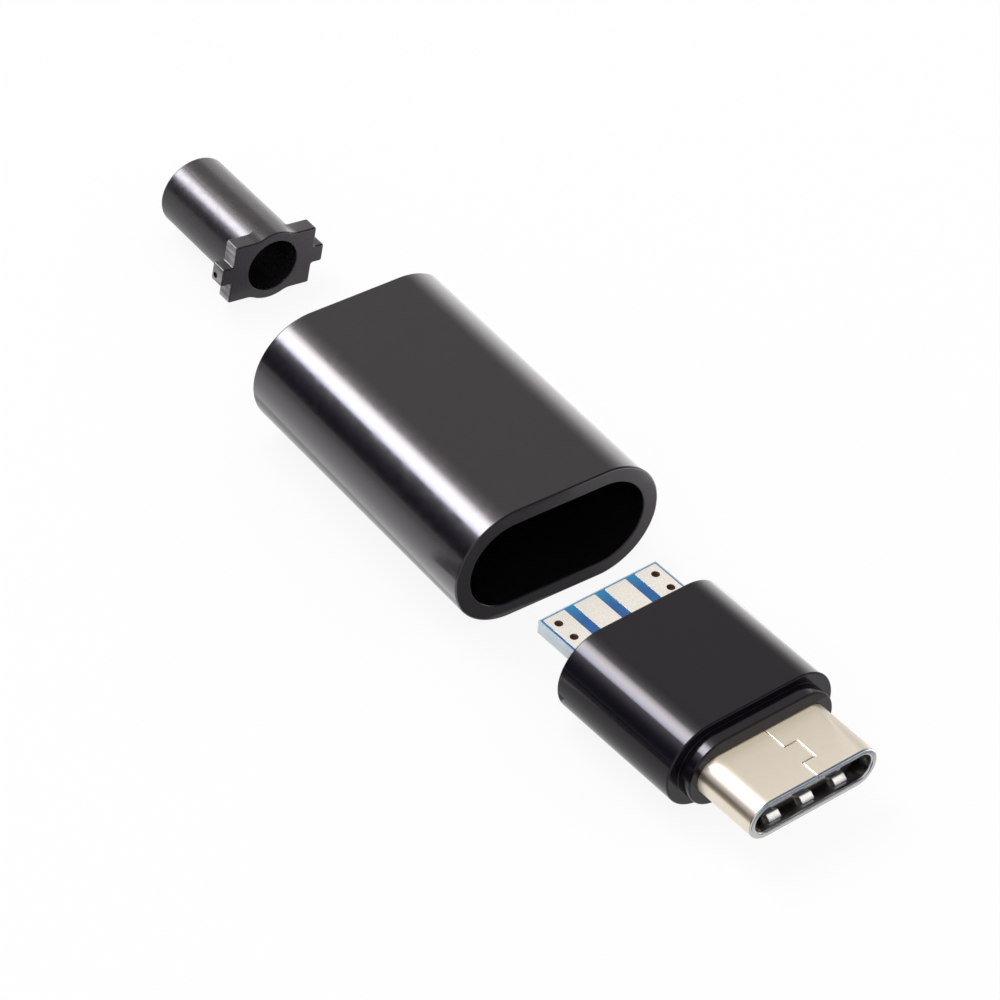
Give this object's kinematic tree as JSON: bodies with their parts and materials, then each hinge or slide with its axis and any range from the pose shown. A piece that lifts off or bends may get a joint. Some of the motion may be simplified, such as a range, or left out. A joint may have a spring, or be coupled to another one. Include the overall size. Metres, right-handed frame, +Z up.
{
  "type": "usb-c plug",
  "caption": "Reversible cable plug for self-assembly: a metal-shelled insert with a solder board, a slide-on housing and a strain relief tube, laid out apart.",
  "frame": {"origin": "centre of the plug's mouth, on the mating face of the shell", "axes": "+X is the mating direction, out of the mouth; +Z is up from the table; the table is at z = -2.55 mm"},
  "size_m": [0.0565, 0.0138, 0.0071],
  "materials": {
    "black_plastic": "glossy moulded black",
    "nickel_shell": "bright warm nickel plate",
    "insulator_plastic": "matt moulded black",
    "spring_steel": "bright stamped steel",
    "gold_contact": "gold plate",
    "blue_board": "blue solder mask on pale glass laminate",
    "tinned_pad": "satin tin"
  },
  "bodies": {
    "root": {"housing": "black_plastic", "strain_relief": "black_plastic", "overmold": "black_plastic", "shell": "nickel_shell", "insulator": "insulator_plastic", "upper_contact_holder": "insulator_plastic", "lower_contact_holder": "insulator_plastic", "latch": "spring_steel", "emc_spring_top": "spring_steel", "emc_spring_bottom": "spring_steel", "pcb": "blue_board", "contact_a1": "gold_contact", "contact_a4": "gold_contact", "contact_a5": "gold_contact", "contact_a6": "gold_contact", "contact_a7": "gold_contact", "contact_a9": "gold_contact", "contact_a12": "gold_contact", "contact_b1": "gold_contact", "contact_b4": "gold_contact", "contact_b5": "gold_contact", "contact_b9": "gold_contact", "contact_b12": "gold_contact", "solder_pad_1": "tinned_pad", "solder_pad_2": "tinned_pad", "solder_pad_3": "tinned_pad", "solder_pad_4": "tinned_pad"}
  },
  "joints": []
}
